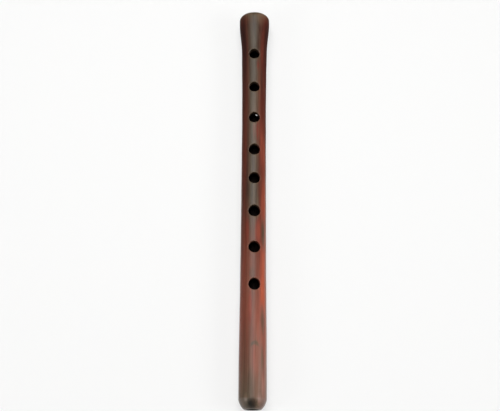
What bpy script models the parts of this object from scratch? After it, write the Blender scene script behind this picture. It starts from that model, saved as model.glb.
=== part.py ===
import math

import bpy

# The pipe of a balaban: one piece of wood, turned, bored and drilled. Metres, +Z up.
# It lies along Y with its finger holes up: the head, with the reed socket, is at +Y, the foot at -Y.
# A distance along the pipe is from the head's end face, unless its name says otherwise.

pipe_length = 0.3160

# Outside
head_diameter = 0.0241
head_land_end = 0.0058       # the head keeps its full diameter to here
neck_diameter = 0.0202       # where the flared head runs out
neck_distance = 0.0315
waist_diameter = 0.0188      # the thinnest part
waist_distance = 0.0960
body_diameter = 0.0194       # from here to the foot the pipe thickens faster
body_distance = 0.2110
foot_diameter = 0.0205
foot_land_length = 0.0210    # full diameter over this much of the foot, counted from its end
head_rim_radius = 0.0038     # rounding of the head's outer edge
head_ring_width = 0.0010     # the rounding always leaves at least this flat ring round the socket
foot_rounding_length = 0.0075
foot_rounding_power = 1.35   # 1 is a quarter ellipse, and a higher power cuts the corner further back
foot_ring_width = 0.0006     # flat ring left round the bore at the foot's end

# Inside
bore_diameter = 0.0098
bore_edge = 0.0003           # eased edge of the bore at the foot
socket_mouth_diameter = 0.0130
socket_edge = 0.0004
socket_depth = 0.0250        # the reed socket tapers to the bore over this depth

# Holes
finger_holes = (             # from the head down, each a distance along the pipe and a diameter
    (0.0377, 0.0083),
    (0.0666, 0.0083),
    (0.0927, 0.0086),
    (0.1196, 0.0087),
    (0.1430, 0.0088),
    (0.1694, 0.0090),
    (0.1977, 0.0089),
    (0.2260, 0.0089),
)
finger_row_lean = math.radians(6)    # how far round to +X the hand-drilled row has wandered at its last hole
thumb_hole_diameter = 0.0085
thumb_hole_distance = 0.0814
thumb_hole_lean = math.radians(35)   # the thumb hole's place round the pipe, from straight below to +X

# Facets
sides = 40                   # round the pipe, with a flat one underneath
hole_sides = 28
body_steps = 10              # between two stations of the outline
edge_steps = 6               # in each rounded edge
cut_margin = 0.0030          # how far a cutter stands out of the wood

# Worked out
head_radius = head_diameter / 2
foot_radius = foot_diameter / 2
bore_radius = bore_diameter / 2
socket_mouth_radius = socket_mouth_diameter / 2
head_wall = head_radius - socket_mouth_radius - socket_edge
rim_radius = min(head_rim_radius, head_wall - head_ring_width)
foot_face_radius = bore_radius + bore_edge + foot_ring_width
head_end = pipe_length / 2
half_side = math.pi / sides
widest_radius = max(head_radius, foot_radius)
axis_height = widest_radius * math.cos(half_side)

# The outline passes smoothly through these, each a distance along the pipe and a radius
stations = (
    (head_land_end, head_radius),
    (neck_distance, neck_diameter / 2),
    (waist_distance, waist_diameter / 2),
    (body_distance, body_diameter / 2),
    (pipe_length - foot_land_length, foot_radius),
)


def clear_scene():
    for old_object in list(bpy.data.objects):
        bpy.data.objects.remove(old_object, do_unlink=True)


def new_collection(name):
    collection = bpy.data.collections.new(name)
    bpy.context.scene.collection.children.link(collection)
    return collection


def wood_material():
    material = bpy.data.materials.new("oiled_dark_wood")
    material.use_nodes = True
    shader = material.node_tree.nodes["Principled BSDF"]
    shader.inputs["Base Color"].default_value = (0.120, 0.026, 0.016, 1)
    shader.inputs["Roughness"].default_value = 0.35
    shader.inputs["Metallic"].default_value = 0
    return material


def station_slopes():
    # Level at both ends and where the outline turns; elsewhere the gentler side has the greater say
    gradients = []
    for (start, start_radius), (end, end_radius) in zip(stations, stations[1:]):
        gradients.append((end_radius - start_radius) / (end - start))
    slopes = [0.0]
    for before, after in zip(gradients, gradients[1:]):
        turns = before * after <= 0
        slopes.append(0.0 if turns else 2 * before * after / (before + after))
    slopes.append(0.0)
    return slopes


def body_outline():
    # Cubic curves from station to station, down the outside of the pipe
    slopes = station_slopes()
    points = [stations[0]]
    for index in range(len(stations) - 1):
        start, start_radius = stations[index]
        end, end_radius = stations[index + 1]
        span = end - start
        for step in range(1, body_steps + 1):
            t = step / body_steps
            blend = t * t * (3 - 2 * t)
            leaving = slopes[index] * span * t * (1 - t) ** 2
            arriving = slopes[index + 1] * span * t * t * (t - 1)
            radius = start_radius + (end_radius - start_radius) * blend + leaving + arriving
            points.append((start + span * t, radius))
    return points


def head_rim():
    # A quarter circle, from the end face out to the side
    points = []
    for step in range(edge_steps + 1):
        angle = math.pi / 2 * step / edge_steps
        distance = rim_radius * (1 - math.cos(angle))
        points.append((distance, head_radius - rim_radius * (1 - math.sin(angle))))
    return points


def foot_rounding():
    # From the side in to the flat ring, fuller than a chamfer and leaner than an ellipse
    points = []
    for step in range(edge_steps + 1):
        angle = math.pi / 2 * step / edge_steps
        along = math.sin(angle) ** foot_rounding_power
        inward = math.cos(angle) ** foot_rounding_power
        distance = pipe_length - foot_rounding_length * (1 - along)
        points.append((distance, foot_face_radius + (foot_radius - foot_face_radius) * inward))
    return points


def inside_outline():
    # Up the bore from the foot, and out through the socket
    return [
        (pipe_length, bore_radius + bore_edge),
        (pipe_length - bore_edge, bore_radius),
        (socket_depth, bore_radius),
        (socket_edge, socket_mouth_radius),
        (0.0, socket_mouth_radius + socket_edge),
    ]


def turned_pipe(collection, material):
    outline = head_rim() + body_outline() + foot_rounding() + inside_outline()
    vertices = [(radius, 0.0, head_end - distance) for distance, radius in outline]
    edges = [(index, (index + 1) % len(vertices)) for index in range(len(vertices))]
    mesh = bpy.data.meshes.new("pipe_outline")
    mesh.from_pydata(vertices, edges, [])
    mesh.materials.append(material)

    pipe = bpy.data.objects.new("pipe", mesh)
    collection.objects.link(pipe)
    pipe.location = (0, 0, axis_height)
    pipe.rotation_euler = (-math.pi / 2, half_side, 0)
    turning = pipe.modifiers.new("turning", "SCREW")
    turning.axis = "Z"
    turning.steps = sides
    turning.render_steps = sides
    turning.use_merge_vertices = True
    turning.merge_threshold = 0.00001
    turning.use_smooth_shade = True
    return pipe


def drill(collection, name, diameter, distance, lean, side):
    # A cutter from the pipe's axis out through one wall: side is 1 for the front, -1 for the back
    reach = widest_radius + cut_margin
    bpy.ops.mesh.primitive_cylinder_add(vertices=hole_sides, radius=diameter / 2, depth=reach)
    cutter = bpy.context.object
    cutter.name = name
    across = math.sin(lean) * reach / 2
    up = math.cos(lean) * reach / 2 * side
    cutter.location = (across, head_end - distance, axis_height + up)
    cutter.rotation_euler = (0, lean * side, 0)
    cutter.data.shade_smooth()
    cutter.data.set_sharp_from_angle(angle=math.radians(30))
    cutter.hide_render = True
    cutter.display_type = "WIRE"
    for holder in list(cutter.users_collection):
        holder.objects.unlink(cutter)
    collection.objects.link(cutter)


def drill_holes(collection):
    first = finger_holes[0][0]
    row_length = finger_holes[-1][0] - first
    for number, (distance, diameter) in enumerate(finger_holes, start=1):
        lean = finger_row_lean * (distance - first) / row_length
        drill(collection, f"finger_hole_{number}", diameter, distance, lean, 1)
    drill(collection, "thumb_hole", thumb_hole_diameter, thumb_hole_distance, thumb_hole_lean, -1)


def main():
    clear_scene()
    balaban = new_collection("balaban")
    drills = new_collection("drills")
    pipe = turned_pipe(balaban, wood_material())
    drill_holes(drills)
    drilling = pipe.modifiers.new("drilling", "BOOLEAN")
    drilling.operation = "DIFFERENCE"
    drilling.solver = "EXACT"
    drilling.operand_type = "COLLECTION"
    drilling.collection = drills


main()
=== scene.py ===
import math

import bmesh
import bpy
from mathutils import Matrix, Vector


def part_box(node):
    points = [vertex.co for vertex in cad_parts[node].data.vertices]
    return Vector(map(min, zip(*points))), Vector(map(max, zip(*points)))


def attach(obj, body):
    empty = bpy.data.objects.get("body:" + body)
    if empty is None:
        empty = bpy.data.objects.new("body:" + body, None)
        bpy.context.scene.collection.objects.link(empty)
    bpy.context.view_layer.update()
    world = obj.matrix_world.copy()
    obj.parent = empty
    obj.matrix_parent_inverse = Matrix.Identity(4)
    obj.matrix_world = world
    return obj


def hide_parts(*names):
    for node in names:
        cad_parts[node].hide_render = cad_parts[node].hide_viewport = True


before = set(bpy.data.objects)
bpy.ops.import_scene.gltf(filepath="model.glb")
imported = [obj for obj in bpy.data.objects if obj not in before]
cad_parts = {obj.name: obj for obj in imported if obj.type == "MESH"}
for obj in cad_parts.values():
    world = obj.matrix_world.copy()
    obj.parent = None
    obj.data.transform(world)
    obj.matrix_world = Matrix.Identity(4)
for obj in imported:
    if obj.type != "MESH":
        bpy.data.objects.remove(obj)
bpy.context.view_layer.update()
print("frame loaded")

cadLow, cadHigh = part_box("pipe")
pipeLength = cadHigh.y - cadLow.y
headEnd = cadHigh.y
axisHeight = (cadLow.z + cadHigh.z) / 2


# The turned outside, metres. A distance along the pipe is from the head's end face.
turning = {
    "headRadius": 0.01205,
    "rimRadius": 0.0038,          # rounding of the head's outer edge
    # Each a distance along the pipe and a radius: head, neck, waist, body and foot
    "stations": (
        (0.0058, 0.01205),
        (0.0315, 0.01010),
        (0.0960, 0.00940),
        (0.2110, 0.00970),
        (0.2950, 0.01025),
    ),
    "footRounding": 0.0075,
    "footPower": 1.35,            # 1 would be a quarter ellipse; the real corner is cut further back
    "footFace": 0.0058,           # radius where the rounding meets the flat end
    "unevenness": 0.00005,        # left by the scraper and the sanding
}

# The inside
boring = {
    "bore": 0.0049,
    "boreEdge": 0.0003,
    "socketMouth": 0.0065,
    "socketEdge": 0.0004,
    "socketDepth": 0.0250,
    "wornRing": 0.0004,       # bare end grain round the socket's mouth
}

# Holes, each a distance along the pipe and a radius. The row wanders a little to +X on its way down.
fingerHoles = (
    (0.0377, 0.00415), (0.0666, 0.00415), (0.0927, 0.0043), (0.1196, 0.00435),
    (0.1430, 0.0044), (0.1694, 0.0045), (0.1977, 0.00445), (0.2260, 0.00445),
)
drilling = {
    "rowLean": math.radians(6),
    "thumbDistance": 0.0814,
    "thumbRadius": 0.00425,
    "thumbTurn": math.radians(145),   # from straight up, round to +X
    "lip": 0.0005,                    # outer edge, rubbed round
    "innerLip": 0.00015,
}

# Mesh
meshing = {
    "outerColumns": 128,
    "boreColumns": 64,
    "patchColumns": 26,       # the square of mesh that each hole is let into
    "patchRows": 26,
    "patchMargin": 0.0012,
    "patchShares": (0.3, 0.6, 0.85),    # rings between the patch's edge and the hole's lip
    "rowStep": 0.0016,
    "rimSteps": 14,
    "footSteps": 18,
    "lipSteps": 6,
    "wallSteps": 6,
    "mouthSteps": 4,
    "boreEdgeSteps": 3,
    "sharpAngle": math.radians(38),
}


def stationSlopes(stations):
    gradients = [(b[1] - a[1]) / (b[0] - a[0]) for a, b in zip(stations, stations[1:])]
    slopes = [0.0]
    for before, after in zip(gradients, gradients[1:]):
        slopes.append(0.0 if before * after <= 0 else 2 * before * after / (before + after))
    return slopes + [0.0]


slopes = stationSlopes(turning["stations"])


def outerRadius(distance):
    # Smooth cubics from station to station, as the lathe left it
    stations = turning["stations"]
    if distance <= stations[0][0]:
        return stations[0][1]
    for index, (a, b) in enumerate(zip(stations, stations[1:])):
        if distance <= b[0]:
            span = b[0] - a[0]
            t = (distance - a[0]) / span
            rise = (b[1] - a[1]) * t * t * (3 - 2 * t)
            leaving = slopes[index] * span * t * (1 - t) ** 2
            arriving = slopes[index + 1] * span * t * t * (t - 1)
            return a[1] + rise + leaving + arriving
    return stations[-1][1]


def boreRadius(distance):
    if distance >= boring["socketDepth"]:
        return boring["bore"]
    t = (distance - boring["socketEdge"]) / (boring["socketDepth"] - boring["socketEdge"])
    return boring["socketMouth"] + (boring["bore"] - boring["socketMouth"]) * t


def handWork(distance, angle):
    # A few slow waves, so that the highlight isn't ruler straight
    wave = 0.5 * math.sin(distance * 190 + 2 * math.sin(angle + 0.6))
    wave += 0.3 * math.sin(distance * 83 + 3 * angle + 1.1)
    wave += 0.2 * math.sin(distance * 410 - 2 * angle)
    return turning["unevenness"] * wave


def place(distance, angle, radius):
    return Vector((
        math.sin(angle) * radius,
        headEnd - distance,
        axisHeight + math.cos(angle) * radius,
    ))


def outerPlace(distance, angle):
    return place(distance, angle, outerRadius(distance) + handWork(distance, angle))


def holeList():
    first, last = fingerHoles[0][0], fingerHoles[-1][0]
    holes = []
    for distance, radius in fingerHoles:
        holes.append((distance, radius, drilling["rowLean"] * (distance - first) / (last - first)))
    holes.append((drilling["thumbDistance"], drilling["thumbRadius"], drilling["thumbTurn"]))
    return sorted(holes)


def evenSteps(start, end, step):
    count = max(1, round((end - start) / step))
    return [start + (end - start) * i / count for i in range(1, count + 1)]


def rowDistances(holes, start, end):
    # Even rows, closer where a hole is let in; also gives each hole's first row
    rows, firstRows = [start], []
    for distance, radius, turn in holes:
        reach = radius + meshing["patchMargin"]
        rows += evenSteps(rows[-1], distance - reach, meshing["rowStep"])
        firstRows.append(len(rows) - 1)
        for i in range(1, meshing["patchRows"] + 1):
            rows.append(distance - reach + 2 * reach * i / meshing["patchRows"])
    rows += evenSteps(rows[-1], end, meshing["rowStep"])
    return rows, firstRows


def addRing(bm, points):
    return [bm.verts.new(p) for p in points]


def joinRings(bm, a, b, material):
    # Quads where both rings have as many points, and three triangles a step where a has twice as many
    if len(a) == len(b):
        for i in range(len(a)):
            j = (i + 1) % len(a)
            bm.faces.new((a[i], a[j], b[j], b[i])).material_index = material
        return
    for i in range(len(b)):
        j = (i + 1) % len(b)
        k = 2 * i
        for corners in ((a[k], a[k + 1], b[i]), (a[k + 1], b[j], b[i]),
                        (a[k + 1], a[(k + 2) % len(a)], b[j])):
            bm.faces.new(corners).material_index = material


def patchBorder(firstRow, firstColumn, columns):
    # Grid places round a patch's edge, in order
    wide, tall = meshing["patchColumns"], meshing["patchRows"]
    border = [(firstRow, firstColumn + i) for i in range(wide)]
    border += [(firstRow + i, firstColumn + wide) for i in range(tall)]
    border += [(firstRow + tall, firstColumn + wide - i) for i in range(wide)]
    border += [(firstRow + tall - i, firstColumn) for i in range(tall)]
    return [(row, column % columns) for row, column in border]


def firstPatchColumn(turn, columns):
    return round(turn / (2 * math.pi) * columns) - meshing["patchColumns"] // 2


def inPatch(row, column, patches, columns):
    for firstRow, firstColumn in patches:
        if firstRow <= row < firstRow + meshing["patchRows"]:
            if (column - firstColumn) % columns < meshing["patchColumns"]:
                return True
    return False


def gridFaces(bm, rings, patches, material):
    columns = len(rings[0])
    for row in range(len(rings) - 1):
        for column in range(columns):
            if not inPatch(row, column, patches, columns):
                after = (column + 1) % columns
                corners = (rings[row][column], rings[row][after],
                           rings[row + 1][after], rings[row + 1][column])
                bm.faces.new(corners).material_index = material


def wrapAngle(angle):
    return (angle + math.pi) % (2 * math.pi) - math.pi


def letInHole(bm, hole, outerBorder, outerSpots, boreBorder, boreSpots):
    # Rings from the outer patch's edge, over the rounded lip, down the wall and out to the bore's patch
    holeDistance, radius, turn = hole
    lip, innerLip = drilling["lip"], drilling["innerLip"]
    drillAxis = Vector((math.sin(turn), 0, math.cos(turn)))
    bearings = []
    for distance, angle in outerSpots:
        across = outerRadius(distance) * math.sin(wrapAngle(angle - turn))
        bearings.append(math.atan2(distance - holeDistance, across))

    def circle(bearing, reach, shell):
        # A place on a circle of that reach round the hole, on a shell of that radius
        return (holeDistance + reach * math.sin(bearing),
                turn + math.asin(reach * math.cos(bearing) / shell))

    ring = outerBorder
    for share in meshing["patchShares"]:
        points = []
        for (distance, angle), bearing in zip(outerSpots, bearings):
            shell = outerRadius(distance)
            toDistance, toTurn = circle(bearing, radius + lip, shell)
            points.append(outerPlace(
                distance + (toDistance - distance) * share,
                turn + wrapAngle(angle - turn) + (toTurn - turn - wrapAngle(angle - turn)) * share,
            ))
        newRing = addRing(bm, points)
        joinRings(bm, ring, newRing, 0)
        ring = newRing
    for step in range(meshing["lipSteps"] + 1):
        bend = math.pi / 2 * step / meshing["lipSteps"]
        reach = radius + lip * (1 - math.sin(bend))
        points = []
        for bearing in bearings:
            shell = outerRadius(holeDistance + reach * math.sin(bearing))
            outside = outerPlace(*circle(bearing, reach, shell))
            points.append(outside - drillAxis * lip * (1 - math.cos(bend)))
        newRing = addRing(bm, points)
        joinRings(bm, ring, newRing, 0)
        ring = newRing
    top = [v.co.copy() for v in ring]
    bottom = []
    for bearing in bearings:
        distance, angle = circle(bearing, radius, boring["bore"])
        bottom.append(place(distance, angle, boring["bore"]) + drillAxis * innerLip)
    for step in range(1, meshing["wallSteps"] + 1):
        share = step / meshing["wallSteps"]
        newRing = addRing(bm, [a.lerp(b, share) for a, b in zip(top, bottom)])
        joinRings(bm, ring, newRing, 1)
        ring = newRing
    edge = [circle(bearing, radius + innerLip, boring["bore"]) for bearing in bearings]
    newRing = addRing(bm, [place(distance, angle, boring["bore"]) for distance, angle in edge])
    joinRings(bm, ring, newRing, 1)
    ring = newRing
    points = []
    for (distance, angle), (edgeDistance, edgeTurn) in zip(boreSpots, edge):
        points.append(place(
            (distance + edgeDistance) / 2,
            (turn + wrapAngle(angle - turn) + edgeTurn) / 2,
            boring["bore"],
        ))
    newRing = addRing(bm, points)
    joinRings(bm, ring, newRing, 1)
    joinRings(bm, newRing, boreBorder, 1)


def fullCircle(columns, distance, radius):
    return [place(distance, 2 * math.pi * i / columns, radius) for i in range(columns)]


def buildPipe():
    bm = bmesh.new()
    holes = holeList()
    outerColumns, boreColumns = meshing["outerColumns"], meshing["boreColumns"]
    rim, headRadius = turning["rimRadius"], turning["headRadius"]
    roundingStart = pipeLength - turning["footRounding"]
    rows, firstRows = rowDistances(holes, rim, roundingStart)
    boreRows = [i for i, distance in enumerate(rows) if distance > boring["socketDepth"]]
    offset = boreRows[0]
    outerPatches, borePatches = [], []
    for row, (distance, radius, turn) in zip(firstRows, holes):
        outerPatches.append((row, firstPatchColumn(turn, outerColumns)))
        borePatches.append((row - offset, firstPatchColumn(turn, boreColumns)))

    def turned(i, columns):
        return 2 * math.pi * i / columns

    # Outside, with a gap in the grid for each hole
    outer = []
    for distance in rows:
        points = [outerPlace(distance, turned(i, outerColumns)) for i in range(outerColumns)]
        outer.append(addRing(bm, points))
    gridFaces(bm, outer, outerPatches, 0)

    # The bore, on the same rows from the socket's bottom down
    bore = [addRing(bm, fullCircle(boreColumns, rows[i], boring["bore"])) for i in boreRows]
    gridFaces(bm, bore, borePatches, 1)

    for hole, (outerRow, outerColumn), (boreRow, boreColumn) in zip(holes, outerPatches, borePatches):
        outerBorder = patchBorder(outerRow, outerColumn, outerColumns)
        boreBorder = patchBorder(boreRow, boreColumn, boreColumns)
        letInHole(
            bm, hole,
            [outer[row][column] for row, column in outerBorder],
            [(rows[row], turned(column, outerColumns)) for row, column in outerBorder],
            [bore[row][column] for row, column in boreBorder],
            [(rows[row + offset], turned(column, boreColumns)) for row, column in boreBorder],
        )

    # Head: the rounded rim, the flat ring and the eased mouth of the socket
    ring = outer[0]
    for step in range(1, meshing["rimSteps"] + 1):
        bend = math.pi / 2 * step / meshing["rimSteps"]
        distance = rim * (1 - math.sin(bend))
        radius = headRadius - rim * (1 - math.cos(bend))
        newRing = addRing(bm, fullCircle(outerColumns, distance, radius))
        joinRings(bm, ring, newRing, 0)
        ring = newRing
    mouth, edge = boring["socketMouth"], boring["socketEdge"]
    newRing = addRing(bm, fullCircle(outerColumns, 0.0, mouth + edge + boring["wornRing"]))
    joinRings(bm, ring, newRing, 2)
    ring = newRing
    newRing = addRing(bm, fullCircle(boreColumns, 0.0, mouth + edge))
    joinRings(bm, ring, newRing, 2)
    ring = newRing
    for step in range(1, meshing["mouthSteps"] + 1):
        bend = math.pi / 2 * step / meshing["mouthSteps"]
        distance = edge * (1 - math.cos(bend))
        radius = mouth + edge * (1 - math.sin(bend))
        newRing = addRing(bm, fullCircle(boreColumns, distance, radius))
        joinRings(bm, ring, newRing, 2)
        ring = newRing
    for distance in evenSteps(edge, boring["socketDepth"], meshing["rowStep"] * 2):
        newRing = addRing(bm, fullCircle(boreColumns, distance, boreRadius(distance)))
        joinRings(bm, ring, newRing, 1)
        ring = newRing
    joinRings(bm, ring, bore[0], 1)

    # Foot: the long rounding, the narrow flat ring and the bore's eased edge
    ring = outer[-1]
    footRadius, footFace = outerRadius(roundingStart), turning["footFace"]
    for step in range(1, meshing["footSteps"] + 1):
        bend = math.pi / 2 * step / meshing["footSteps"]
        distance = roundingStart + turning["footRounding"] * math.sin(bend) ** turning["footPower"]
        radius = footFace + (footRadius - footFace) * max(0.0, math.cos(bend)) ** turning["footPower"]
        newRing = addRing(bm, fullCircle(outerColumns, distance, radius))
        joinRings(bm, ring, newRing, 0)
        ring = newRing
    boreEdge = boring["boreEdge"]
    newRing = addRing(bm, fullCircle(boreColumns, pipeLength, boring["bore"] + boreEdge))
    joinRings(bm, ring, newRing, 2)
    ring = newRing
    for step in range(1, meshing["boreEdgeSteps"] + 1):
        bend = math.pi / 2 * step / meshing["boreEdgeSteps"]
        distance = pipeLength - boreEdge * (1 - math.cos(bend))
        radius = boring["bore"] + boreEdge * (1 - math.sin(bend))
        newRing = addRing(bm, fullCircle(boreColumns, distance, radius))
        joinRings(bm, ring, newRing, 2)
        ring = newRing
    for distance in evenSteps(pipeLength - boreEdge, rows[-1], -meshing["rowStep"]):
        if distance - rows[-1] > meshing["rowStep"] / 2:
            newRing = addRing(bm, fullCircle(boreColumns, distance, boring["bore"]))
            joinRings(bm, ring, newRing, 1)
            ring = newRing
    joinRings(bm, ring, bore[-1], 1)

    bmesh.ops.delete(bm, geom=[v for v in bm.verts if not v.link_faces], context="VERTS")
    bmesh.ops.recalc_face_normals(bm, faces=bm.faces)
    mesh = bpy.data.meshes.new("balabanPipe")
    bm.to_mesh(mesh)
    bm.free()
    mesh.shade_smooth()
    mesh.set_sharp_from_angle(angle=meshing["sharpAngle"])
    pipe = bpy.data.objects.new("balabanPipe", mesh)
    bpy.context.scene.collection.objects.link(pipe)
    return pipe


def markHoleEdges(pipe):
    # How far each point of the outside is from the nearest hole's edge, kept on the mesh for the finish
    nearness = pipe.data.attributes.new("holeEdge", "FLOAT", "POINT")
    holes = holeList()
    for vertex in pipe.data.vertices:
        distance = headEnd - vertex.co.y
        height = vertex.co.z - axisHeight
        angle = math.atan2(vertex.co.x, height)
        reach = math.hypot(vertex.co.x, height)
        gaps = []
        for holeDistance, radius, turn in holes:
            gaps.append(math.hypot(distance - holeDistance, reach * wrapAngle(angle - turn)) - radius)
        nearness.data[vertex.index].value = min(gaps)


balabanPipe = buildPipe()
markHoleEdges(balabanPipe)
print("pipe turned, bored and drilled:", len(balabanPipe.data.polygons), "faces")


# Shader helpers. An input may be a value or another node's output.
def addNode(tree, kind, inputs, **settings):
    node = tree.nodes.new("ShaderNode" + kind)
    for key, value in settings.items():
        setattr(node, key, value)
    for key, value in inputs.items():
        if isinstance(value, bpy.types.NodeSocket):
            tree.links.new(value, node.inputs[key])
        else:
            node.inputs[key].default_value = value
    return node


def maths(tree, operation, *values, clamp=False):
    node = addNode(tree, "Math", dict(enumerate(values)), operation=operation, use_clamp=clamp)
    return node.outputs[0]


def vectors(tree, operation, first, second):
    return addNode(tree, "VectorMath", {0: first, 1: second}, operation=operation).outputs[0]


def remap(tree, value, fromLow, fromHigh, toLow=0.0, toHigh=1.0):
    inputs = {"Value": value, "From Min": fromLow, "From Max": fromHigh, "To Min": toLow, "To Max": toHigh}
    return addNode(tree, "MapRange", inputs, interpolation_type="SMOOTHSTEP", clamp=True).outputs["Result"]


def noise(tree, vector, detail, roughness, distortion=0.0):
    inputs = {"Vector": vector, "Scale": 1.0, "Detail": detail,
              "Roughness": roughness, "Distortion": distortion}
    return addNode(tree, "TexNoise", inputs).outputs


def ramp(tree, value, stops):
    node = addNode(tree, "ValToRGB", {"Fac": value})
    elements = node.color_ramp.elements
    while len(elements) > 1:
        elements.remove(elements[-1])
    for index, (position, colour) in enumerate(stops):
        element = elements[0] if index == 0 else elements.new(position)
        element.position = position
        element.color = (*colour, 1)
    return node.outputs["Color"]


def startGroup(name, inputs, outputs):
    group = bpy.data.node_groups.new(name, "ShaderNodeTree")
    for side, sockets in (("INPUT", inputs), ("OUTPUT", outputs)):
        for socketName, kind in sockets.items():
            group.interface.new_socket(name=socketName, in_out=side, socket_type="NodeSocket" + kind)
    return group, group.nodes.new("NodeGroupInput").outputs, group.nodes.new("NodeGroupOutput").inputs


def useGroup(tree, group, inputs):
    node = tree.nodes.new("ShaderNodeGroup")
    node.node_tree = group
    for key, value in inputs.items():
        if isinstance(value, bpy.types.NodeSocket):
            tree.links.new(value, node.inputs[key])
        else:
            node.inputs[key].default_value = value
    return node.outputs


def placesGroup():
    # Where a point is on the pipe: from the head's end, round from the top, and out from the axis
    group, given, result = startGroup(
        "pipePlaces", {"Position": "Vector"}, {"Along": "Float", "Around": "Float", "From Axis": "Float"})
    parts = addNode(group, "SeparateXYZ", {"Vector": given["Position"]}).outputs
    height = maths(group, "SUBTRACT", parts["Z"], axisHeight)
    group.links.new(maths(group, "SUBTRACT", headEnd, parts["Y"]), result["Along"])
    group.links.new(maths(group, "ARCTAN2", parts["X"], height), result["Around"])
    across = maths(group, "MULTIPLY", parts["X"], parts["X"])
    depth = maths(group, "SQRT", maths(group, "MULTIPLY_ADD", height, height, across))
    group.links.new(depth, result["From Axis"])
    return group


# How fine each figure is: across the layers, round the pith and along the billet
growth = {
    "bands": (1.0, 6.0, 1.0),
    "streaks": (5.0, 40.0, 3.0),
    "pores": (16.0, 300.0, 22.0),
    "drift": (45, 7, 45),         # the slow wandering of all three, in waves a metre
}


def figureGroup():
    # Growth layers that run the length of the billet, cut open by the turning
    group, given, result = startGroup(
        "growthFigure",
        {"Position": "Vector", "Pith": "Vector", "Layers": "Float", "Run": "Float", "Wander": "Float"},
        {"Bands": "Float", "Streaks": "Float", "Pores": "Float"},
    )
    drift = vectors(group, "MULTIPLY", given["Position"], growth["drift"])
    drift = noise(group, drift, detail=2.0, roughness=0.5)["Color"]
    centred = vectors(group, "SUBTRACT", drift, (0.5, 0.5, 0.5))
    wandered = addNode(group, "VectorMath", {0: centred, "Scale": given["Wander"]}, operation="SCALE")
    fromPith = vectors(group, "SUBTRACT", given["Position"], given["Pith"])
    moved = vectors(group, "ADD", fromPith, wandered.outputs[0])
    parts = addNode(group, "SeparateXYZ", {"Vector": moved}).outputs
    flat = addNode(group, "CombineXYZ", {"X": parts["X"], "Z": parts["Z"]}).outputs[0]
    ring = addNode(group, "VectorMath", {0: flat}, operation="LENGTH").outputs["Value"]
    side = maths(group, "ARCTAN2", parts["X"], parts["Z"])
    lengthwise = maths(group, "MULTIPLY", parts["Y"], given["Run"])

    def layered(ringScale, sideScale, runScale):
        inputs = {
            "X": maths(group, "MULTIPLY", ring, maths(group, "MULTIPLY", given["Layers"], ringScale)),
            "Y": maths(group, "MULTIPLY", lengthwise, runScale),
            "Z": maths(group, "MULTIPLY", side, sideScale),
        }
        return addNode(group, "CombineXYZ", inputs).outputs[0]

    bands = noise(group, layered(*growth["bands"]), detail=4.0, roughness=0.6, distortion=0.2)
    fineStreaks = noise(group, layered(*growth["streaks"]), detail=3.0, roughness=0.55)
    pores = noise(group, layered(*growth["pores"]), detail=2.0, roughness=0.5)
    group.links.new(bands["Fac"], result["Bands"])
    group.links.new(fineStreaks["Fac"], result["Streaks"])
    group.links.new(pores["Fac"], result["Pores"])
    return group


# The share of a mark's half width that keeps its full strength
markCore = 0.15


def streakGroup():
    # One long mark at a place on the pipe, soft at its edge
    group, given, result = startGroup(
        "placedStreak",
        {"Along": "Float", "Around": "Float", "Middle": "Float", "Turn": "Float", "Slant": "Float",
         "Half Length": "Float", "Half Width": "Float", "Ragged": "Float"},
        {"Mask": "Float"},
    )
    ahead = maths(group, "SUBTRACT", given["Along"], given["Middle"])
    aside = maths(group, "SUBTRACT", given["Around"], given["Turn"])
    aside = maths(group, "SUBTRACT", aside, maths(group, "MULTIPLY", ahead, given["Slant"]))
    aside = maths(group, "ADD", aside, given["Ragged"])
    ahead = maths(group, "DIVIDE", ahead, given["Half Length"])
    aside = maths(group, "DIVIDE", aside, given["Half Width"])
    asideSquared = maths(group, "MULTIPLY", aside, aside)
    spread = maths(group, "SQRT", maths(group, "MULTIPLY_ADD", ahead, ahead, asideSquared))
    group.links.new(remap(group, spread, markCore, 1.0, 1.0, 0.0), result["Mask"])
    return group


knot = {
    "distance": 0.2693,
    "turn": math.radians(8),
    "halfWidth": math.radians(20),
    "thickness": 0.0022,
    "bow": 0.0026,
    "tone": -0.20,
    "brown": 0.45,
    "endsFade": (0.5, 1.1),       # shares of its half width
    "edgeFade": (0.2, 1.0),       # shares of its thickness
}


def knotGroup():
    # A small knot's upper edge: a short dark bow across the grain
    group, given, result = startGroup(
        "knotBow",
        {"Along": "Float", "Around": "Float", "Middle": "Float", "Turn": "Float",
         "Half Width": "Float", "Thickness": "Float", "Bow": "Float"},
        {"Mask": "Float"},
    )
    aside = maths(group, "SUBTRACT", given["Around"], given["Turn"])
    aside = maths(group, "DIVIDE", aside, given["Half Width"])
    sag = maths(group, "MULTIPLY", maths(group, "MULTIPLY", aside, aside), given["Bow"])
    ahead = maths(group, "SUBTRACT", maths(group, "SUBTRACT", given["Along"], given["Middle"]), sag)
    ahead = maths(group, "DIVIDE", maths(group, "ABSOLUTE", ahead), given["Thickness"])
    across = remap(group, maths(group, "ABSOLUTE", aside), *knot["endsFade"], 1.0, 0.0)
    line = remap(group, ahead, *knot["edgeFade"], 1.0, 0.0)
    group.links.new(maths(group, "MULTIPLY", line, across), result["Mask"])
    return group


def tonesGroup(redStops, brownStops):
    # From dark to light, the colours of the oiled wood, where it is red and where it is brown
    group, given, result = startGroup("woodTones", {"Tone": "Float", "Brown": "Float"}, {"Color": "Color"})
    red = ramp(group, given["Tone"], redStops)
    brown = ramp(group, given["Tone"], brownStops)
    mixed = addNode(group, "Mix", {"Factor": given["Brown"], 6: red, 7: brown}, data_type="RGBA")
    group.links.new(mixed.outputs[2], result["Color"])
    return group


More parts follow.
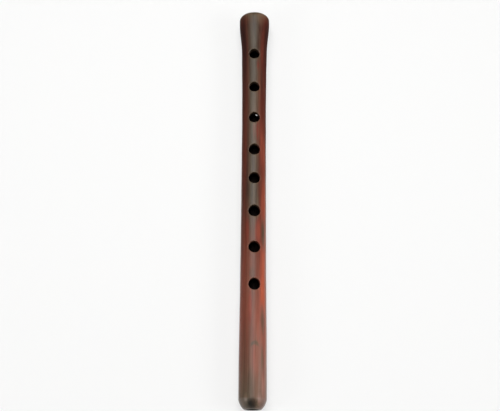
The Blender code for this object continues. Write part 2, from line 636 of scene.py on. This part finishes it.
wood = {
    "redTones": (
        (0.00, (0.010, 0.005, 0.004)),
        (0.20, (0.050, 0.012, 0.008)),
        (0.40, (0.110, 0.024, 0.014)),
        (0.60, (0.200, 0.044, 0.025)),
        (0.80, (0.320, 0.068, 0.036)),
        (1.00, (0.470, 0.100, 0.048)),
    ),
    "brownTones": (
        (0.00, (0.012, 0.011, 0.007)),
        (0.20, (0.051, 0.038, 0.022)),
        (0.40, (0.106, 0.070, 0.042)),
        (0.60, (0.180, 0.102, 0.066)),
        (0.80, (0.260, 0.142, 0.106)),
        (1.00, (0.350, 0.195, 0.150)),
    ),
    # Down the pipe, each a share of its length and a tone: darkest at the head, lightest before the foot
    "toneAlong": (
        (0.00, 0.45), (0.015, 0.38), (0.04, 0.26), (0.20, 0.34), (0.50, 0.34), (0.60, 0.45), (0.70, 0.54),
        (0.79, 0.66), (0.86, 0.65), (0.91, 0.62), (0.95, 0.56), (0.975, 0.50), (1.00, 0.46),
    ),
    # Brown at both ends, red between
    "brownAlong": (
        (0.00, 1.00), (0.012, 0.50), (0.025, 0.10), (0.15, 0.10), (0.60, 0.10), (0.80, 0.15),
        (0.88, 0.40), (0.95, 0.80), (1.00, 1.00),
    ),
    # The strip that the holes run down is painted darker and browner, most at the head's half: painted
    # shade against the overhead lamp's stronger light, and a painted olive tint for the highlight on top
    "topAlong": ((0.00, 0.7), (0.08, 1.0), (0.50, 1.0), (0.62, 0.25), (1.00, 0.0)),
    "topTurn": math.radians(-4),
    "topHalf": math.radians(38),
    "topCore": 0.2,               # the share of it that is fully painted
    "topPaintedShade": -0.05,
    "topHighlightTint": 0.85,
    "sideTone": 0.08,             # how much warmer the +X side is
    "pith": (-0.050, 0.0, -0.040),
    "layers": 300.0,
    "run": 7.0,
    "wander": 0.004,
    "bandTone": 0.55,
    "streakTone": 0.22,
    "sideFrom": (math.radians(62), math.radians(105)),
    "sideBandTone": 1.15,         # stronger on the sides and underneath, where the layers run across
    "sideStreakTone": 0.50,
    "brownStreaks": 0.9,          # how much the fine streaks swing between red and brown
    "ragged": 0.35,               # how much the fine streaks fray the edges of the marks
    # Pores and the grime in them, and the painted shade down the bore and the holes
    "poreFrom": (0.60, 0.72),
    "poreGrime": 0.2,
    "grimeAndShadeColour": (0.006, 0.003, 0.002, 1),
    "boreShadeDepth": 0.002,          # how far up a hole's wall the bore's painted shade comes
    # Surface
    "grainFrom": (0.3, 0.7),
    "grainRoughness": (-0.05, 0.07),    # what the grain takes from the roughness or adds to it
    "streakRelief": 0.6,
    "poreRelief": -1.0,
    "reliefHeight": 0.00003,
    "reliefStrength": 0.8,
    # Wax: on top at the head, all round towards the foot, thickest on the flanks and the foot's end
    "wax": 0.42,
    "waxEdge": (math.radians(28), math.radians(58)),
    "waxFrom": (0.110, 0.230),
    "waxRoughness": 0.38,
    "sideWax": 1.0,
    "sideWaxEdge": (math.radians(58), math.radians(72)),
    "sideWaxFrom": (0.060, 0.175),
    "polishFrom": (0.3060, 0.3095),
    "polish": 1.0,
    # The edges of the holes are painted paler: wear from fingers, together with a painted highlight on the
    # rounded lip
    "rimWidth": 0.0015,
    "rimWearAndHighlightTone": 0.06,
    "rimBrown": 0.2,
}

# Marks, listed: distance, turn in degrees, half length, half width in degrees, tone, brown,
# slant in degrees a metre
streaks = (
    # Painted shade on the head's -X flank
    (0.024, -64, 0.034, 30, -0.06, -0.2, 0),
    (0.115, -54, 0.085, 26, 0.11, 0.0, 0),
    (0.130, 62, 0.038, 22, 0.14, 0.1, 0),
    # Painted shade on the head's +X flank, together with the wood's crimson there
    (0.034, 64, 0.040, 28, -0.18, -0.7, 0),
    (0.060, 40, 0.020, 12, -0.12, 0.0, 0),
    (0.006, 26, 0.012, 24, 0.14, 0.4, 0),
    (0.030, 42, 0.024, 13, 0.12, -0.8, 0),
    (0.070, 24, 0.080, 13, 0.08, 0.15, 0),
    (0.0475, 18, 0.007, 10, 0.10, -0.6, 0),
    (0.104, 16, 0.014, 10, 0.16, -0.7, 0),
    (0.104, 2, 0.012, 11, 0.05, -0.5, 0),
    (0.106, 36, 0.018, 15, 0.14, -0.4, 0),
    (0.060, -4, 0.040, 16, -0.05, 0.0, 0),
    (0.128, -8, 0.030, 14, -0.05, 0.0, 0),
    (0.122, 46, 0.026, 26, 0.20, -0.3, 0),
    (0.160, 52, 0.028, 26, 0.28, -0.2, 0),
    (0.160, -6, 0.025, 12, -0.05, 0.0, 0),
    (0.158, 12, 0.012, 8, -0.07, 0.0, 0),
    (0.185, 22, 0.015, 19, 0.20, -0.8, 0),
    (0.188, 51, 0.016, 14, -0.18, 0.6, 0),
    (0.184, -28, 0.014, 13, 0.10, -0.4, 0),
    (0.212, 46, 0.028, 22, 0.26, -0.3, -150),
    (0.236, 46, 0.020, 28, 0.28, -0.3, 0),
    (0.251, 46, 0.018, 16, -0.26, 0.5, 150),
    (0.243, -12, 0.018, 12, 0.12, -0.4, 0),
    (0.262, 20, 0.020, 12, 0.08, -0.1, 0),
    (0.272, -32, 0.075, 38, -0.15, 0.0, 0),
    (0.300, -8, 0.018, 28, -0.10, 0.0, 0),
    (0.218, -6, 0.007, 18, -0.09, 0.2, 0),
    (0.168, 19, 0.014, 11, -0.03, 0.5, 0),
    (0.152, -26, 0.013, 12, -0.09, 0.0, 0),
    (0.220, 70, 0.140, 26, 0.40, 0.38, 0),
    # Painted sheen: a pale edge along the -X flank
    (0.175, -77, 0.110, 17, 0.36, 0.5, 0),
    (0.160, 80, 0.110, 16, 0.20, 0.1, 0),
    (0.270, 27, 0.060, 20, 0.05, 0.25, 0),
    (0.272, 14, 0.026, 9, -0.02, 0.25, 0),
    (0.283, 9, 0.017, 20, 0.10, -0.2, 0),
    (0.280, 42, 0.014, 10, -0.14, 0.4, 0),
    (0.301, 50, 0.014, 18, 0.20, -0.05, 0),
    # Painted highlights: two pale spots on the foot's shoulders
    (0.3095, 29, 0.0060, 17, 0.16, 0.9, 0),
    (0.3095, -28, 0.0060, 16, 0.12, 0.9, 0),
    # Painted dark reflection in the middle of the foot's rounding
    (0.3126, -2, 0.0056, 42, -0.40, -0.3, 0),
)


def woodColour(tree, places, figure, groups):
    share = maths(tree, "DIVIDE", places["Along"], pipeLength)
    along = ramp(tree, share, [(p, (t, t, t)) for p, t in wood["toneAlong"]])
    tone = maths(tree, "MULTIPLY_ADD", maths(tree, "SINE", places["Around"]), wood["sideTone"], along)
    turned = maths(tree, "ABSOLUTE", places["Around"])
    bands = maths(tree, "SUBTRACT", figure["Bands"], 0.5)
    bandTone = remap(tree, turned, *wood["sideFrom"], wood["bandTone"], wood["sideBandTone"])
    tone = maths(tree, "MULTIPLY_ADD", bands, bandTone, tone)
    fine = maths(tree, "SUBTRACT", figure["Streaks"], 0.5)
    streakTone = remap(tree, turned, *wood["sideFrom"], wood["streakTone"], wood["sideStreakTone"])
    tone = maths(tree, "MULTIPLY_ADD", fine, streakTone, tone)
    # Painted shade and highlight tint along the top strip
    top = ramp(tree, share, [(p, (t, t, t)) for p, t in wood["topAlong"]])
    aside = maths(tree, "ABSOLUTE", maths(tree, "SUBTRACT", places["Around"], wood["topTurn"]))
    paintedTopStrip = remap(tree, aside, wood["topCore"] * wood["topHalf"], wood["topHalf"], 1.0, 0.0)
    top = maths(tree, "MULTIPLY", top, paintedTopStrip)
    tone = maths(tree, "MULTIPLY_ADD", top, wood["topPaintedShade"], tone)
    brown = ramp(tree, share, [(p, (t, t, t)) for p, t in wood["brownAlong"]])
    brown = maths(tree, "MULTIPLY_ADD", top, wood["topHighlightTint"], brown)
    brown = maths(tree, "MULTIPLY_ADD", fine, wood["brownStreaks"], brown)
    ragged = maths(tree, "MULTIPLY", fine, wood["ragged"])
    for middle, turn, halfLength, halfWidth, toneShift, brownShift, slant in streaks:
        mask = useGroup(tree, groups["streak"], {
            "Along": places["Along"], "Around": places["Around"],
            "Middle": middle, "Turn": math.radians(turn), "Slant": math.radians(slant),
            "Half Length": halfLength, "Half Width": math.radians(halfWidth), "Ragged": ragged,
        })["Mask"]
        tone = maths(tree, "MULTIPLY_ADD", mask, toneShift, tone)
        brown = maths(tree, "MULTIPLY_ADD", mask, brownShift, brown)
    bow = useGroup(tree, groups["knot"], {
        "Along": places["Along"], "Around": places["Around"],
        "Middle": knot["distance"], "Turn": knot["turn"],
        "Half Width": knot["halfWidth"], "Thickness": knot["thickness"], "Bow": knot["bow"],
    })["Mask"]
    tone = maths(tree, "MULTIPLY_ADD", bow, knot["tone"], tone)
    brown = maths(tree, "MULTIPLY_ADD", bow, knot["brown"], brown)
    # Paler hole edges: finger wear and a painted highlight on the lip
    rubbedAndLitRim = addNode(tree, "Attribute", {}, attribute_name="holeEdge").outputs["Fac"]
    rubbedAndLitRim = remap(tree, rubbedAndLitRim, 0.0, wood["rimWidth"], 1.0, 0.0)
    tone = maths(tree, "MULTIPLY_ADD", rubbedAndLitRim, wood["rimWearAndHighlightTone"], tone)
    brown = maths(tree, "MULTIPLY_ADD", rubbedAndLitRim, wood["rimBrown"], brown, clamp=True)
    return useGroup(tree, groups["tones"], {"Tone": tone, "Brown": brown})["Color"]


def startMaterial(name):
    material = bpy.data.materials.new(name)
    material.use_nodes = True
    tree = material.node_tree
    return material, tree, tree.nodes["Principled BSDF"].inputs


def waxWeight(tree, places):
    aside = maths(tree, "ABSOLUTE", places["Around"])
    handled = remap(tree, aside, *wood["waxEdge"], wood["wax"], 0.0)
    kept = remap(tree, places["Along"], *wood["waxFrom"], 0.0, wood["wax"])
    flanks = remap(tree, aside, *wood["sideWaxEdge"], 0.0, wood["sideWax"])
    flanks = maths(tree, "MULTIPLY", flanks, remap(tree, places["Along"], *wood["sideWaxFrom"]))
    polish = remap(tree, places["Along"], *wood["polishFrom"], 0.0, wood["polish"])
    body = maths(tree, "MAXIMUM", handled, kept)
    return maths(tree, "MAXIMUM", body, maths(tree, "MAXIMUM", flanks, polish))


# What sets the three surfaces apart. Darkness is how far the wood is darkened towards near-black away from
# the bore, and the bore's painted shade is how far it is darkened at the bore.
finishes = {
    "oiledWood": {"darkness": 0.0, "borePaintedShade": 0.0, "roughness": 0.42, "gloss": 0.06, "waxed": True},
    "cutWood": {"darkness": 0.6, "borePaintedShade": 0.985, "roughness": 0.6, "gloss": 0.1, "waxed": False},
    "endWood": {"darkness": 0.35, "borePaintedShade": 0.5, "roughness": 0.45, "gloss": 0.1, "waxed": True},
}


def woodMaterial(name, finish, groups):
    material, tree, shader = startMaterial(name)
    position = addNode(tree, "TexCoord", {}).outputs["Object"]
    places = useGroup(tree, groups["places"], {"Position": position})
    figure = useGroup(tree, groups["figure"], {
        "Position": position, "Pith": wood["pith"], "Layers": wood["layers"],
        "Run": wood["run"], "Wander": wood["wander"],
    })

    colour = woodColour(tree, places, figure, groups)
    pores = remap(tree, figure["Pores"], *wood["poreFrom"])
    # Near-black: grime in the pores, and painted shade in the bore and low on each hole's wall
    bore = boring["bore"]
    boreShadeAndDarkness = remap(tree, places["From Axis"], bore, bore + wood["boreShadeDepth"],
                  finish["borePaintedShade"], finish["darkness"])
    grimeAndShadeShare = maths(tree, "MULTIPLY_ADD", pores, wood["poreGrime"], boreShadeAndDarkness, clamp=True)
    mixed = addNode(tree, "Mix", {"Factor": grimeAndShadeShare, 6: colour, 7: wood["grimeAndShadeColour"]}, data_type="RGBA")
    tree.links.new(mixed.outputs[2], shader["Base Color"])

    smoother, rougher = wood["grainRoughness"]
    grained = remap(tree, figure["Streaks"], *wood["grainFrom"],
                    finish["roughness"] + smoother, finish["roughness"] + rougher)
    tree.links.new(grained, shader["Roughness"])
    shader["Specular IOR Level"].default_value = finish["gloss"]
    if finish["waxed"]:
        tree.links.new(waxWeight(tree, places), shader["Coat Weight"])
        shader["Coat Roughness"].default_value = wood["waxRoughness"]

    relief = maths(tree, "MULTIPLY", figure["Streaks"], wood["streakRelief"])
    relief = maths(tree, "MULTIPLY_ADD", pores, wood["poreRelief"], relief)
    bump = addNode(tree, "Bump", {
        "Height": relief, "Distance": wood["reliefHeight"], "Strength": wood["reliefStrength"],
    })
    tree.links.new(bump.outputs["Normal"], shader["Normal"])
    return material


woodGroups = {
    "places": placesGroup(),
    "figure": figureGroup(),
    "streak": streakGroup(),
    "knot": knotGroup(),
    "tones": tonesGroup(wood["redTones"], wood["brownTones"]),
}
for finishName, finish in finishes.items():
    balabanPipe.data.materials.append(woodMaterial(finishName, finish, woodGroups))
print("wood finished")

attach(balabanPipe, "root")
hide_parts("pipe")


# The table it lies on. The pipe rests on its head and its foot, so the table is level to those two.
table = {
    "headContact": 0.150,     # Y where the head touches
    "footContact": -0.150,
    "clearance": 0.0001,
    "size": 12.0,
    "divisions": 40,
    "paper": (0.30, 0.30, 0.295),
    "paperRoughness": 0.9,
    "paperGloss": 0.1,
    "lift": 0.622,            # added for the camera, so that the paper is white and its shadow stays
    "farLift": 0.90,          # the same where the lamps no longer reach
    "liftFrom": (0.40, 1.5),  # between these distances from the middle, the one turns into the other
    "paintedReflectionFrom": (-0.22, 0.06),
    "paintedReflection": (1.0, 0.0),      # painted reflection: the share of the lift that the pipe mirrors, from its foot up to the head, dimmed towards the head as painted shade
    "coveRadius": 5.6,
    "coveHeight": 1.4,
    "coveSides": 96,
    "coveSunk": 0.1,          # how much of the cove is below the table
}


def paperMaterial():
    # Lifted for the camera and for what the pipe mirrors, and not where it lights the pipe
    material, tree, shader = startMaterial("whitePaper")
    shader["Base Color"].default_value = (*table["paper"], 1)
    shader["Roughness"].default_value = table["paperRoughness"]
    shader["Specular IOR Level"].default_value = table["paperGloss"]
    rays = addNode(tree, "LightPath", {}).outputs
    position = addNode(tree, "NewGeometry", {}).outputs["Position"]
    upPipe = addNode(tree, "SeparateXYZ", {"Vector": position}).outputs["Y"]
    # Painted reflection: the paper glows in the pipe's mirror image, less towards the head as painted
    # shade
    paintedReflection = remap(tree, upPipe, *table["paintedReflectionFrom"], *table["paintedReflection"])
    mirrored = maths(tree, "MULTIPLY", rays["Is Glossy Ray"], paintedReflection)
    seen = maths(tree, "MAXIMUM", rays["Is Camera Ray"], mirrored)
    seen = maths(tree, "MAXIMUM", seen, rays["Is Transmission Ray"])
    away = addNode(tree, "VectorMath", {0: position}, operation="LENGTH").outputs["Value"]
    shader["Emission Color"].default_value = (1, 1, 1, 1)
    lift = remap(tree, away, *table["liftFrom"], table["lift"], table["farLift"])
    tree.links.new(maths(tree, "MULTIPLY", seen, lift), shader["Emission Strength"])
    return material


def buildTable(paper):
    footHeight = axisHeight - outerRadius(headEnd - table["footContact"])
    headHeight = axisHeight - turning["headRadius"]
    slope = math.atan2(headHeight - footHeight, table["headContact"] - table["footContact"])
    middle = (headHeight + footHeight) / 2
    bpy.ops.mesh.primitive_grid_add(
        x_subdivisions=table["divisions"], y_subdivisions=table["divisions"], size=table["size"])
    top = bpy.context.object
    top.name = "tableTop"
    top.location = (0, 0, middle - table["clearance"])
    top.rotation_euler = (slope, 0, 0)
    top.data.materials.append(paper)


def buildCove(paper):
    # A low pale wall near the edge of the table, so that the pipe stands against white from low down too
    bpy.ops.mesh.primitive_cylinder_add(
        vertices=table["coveSides"], radius=table["coveRadius"], depth=table["coveHeight"],
        end_fill_type="NOTHING")
    wall = bpy.context.object
    wall.name = "cove"
    wall.location = (0, 0, table["coveHeight"] / 2 - table["coveSunk"])
    wall.data.shade_smooth()
    wall.data.materials.append(paper)


whitePaper = paperMaterial()
buildTable(whitePaper)
buildCove(whitePaper)
print("table laid")


lighting = {
    "overhead": {"place": (-0.06, 0.26, 1.0), "size": (0.75, 0.85), "power": 10.5},
    "left": {"place": (-1.12, -0.50, 0.67), "size": (0.50, 0.40), "power": 4.0},
    "right": {"place": (1.13, -0.28, 0.80), "size": (0.70, 0.45), "power": 6.5},
}
roomGlow = 0.10


def addLamp(name, settings):
    data = bpy.data.lights.new(name, "AREA")
    data.shape = "RECTANGLE"
    data.size, data.size_y = settings["size"]
    data.energy = settings["power"]
    lamp = bpy.data.objects.new(name, data)
    lamp.location = settings["place"]
    lamp.rotation_euler = (-Vector(settings["place"])).to_track_quat("-Z", "Y").to_euler()
    bpy.context.scene.collection.objects.link(lamp)


def lightRoom(glow):
    room = bpy.data.worlds.new("room")
    bpy.context.scene.world = room
    room.use_nodes = True
    background = room.node_tree.nodes["Background"].inputs
    background["Color"].default_value = (1, 1, 1, 1)
    background["Strength"].default_value = glow


for lampName, lampSettings in lighting.items():
    addLamp(lampName + "Lamp", lampSettings)
lightRoom(roomGlow)


camera = {
    "place": (-0.0018, -0.2183, 0.6670),
    "turn": math.radians(0.25),
    "tilt": math.radians(18.08),
    "roll": math.radians(0.11),
    "lens": 64.66,
    "sensorWidth": 36.0,
    "clip": (0.01, 50),
}


def addCamera(settings):
    data = bpy.data.cameras.new("view")
    data.lens = settings["lens"]
    data.sensor_width = settings["sensorWidth"]
    data.clip_start, data.clip_end = settings["clip"]
    holder = bpy.data.objects.new("view", data)
    turn = Matrix.Rotation(settings["turn"], 4, "Z")
    tilt = Matrix.Rotation(settings["tilt"], 4, "X")
    roll = Matrix.Rotation(settings["roll"], 4, "Z")
    holder.matrix_world = Matrix.Translation(settings["place"]) @ turn @ tilt @ roll
    bpy.context.scene.collection.objects.link(holder)
    bpy.context.scene.camera = holder


addCamera(camera)
bpy.context.scene.view_settings.view_transform = "Standard"
print("lamps and camera set")
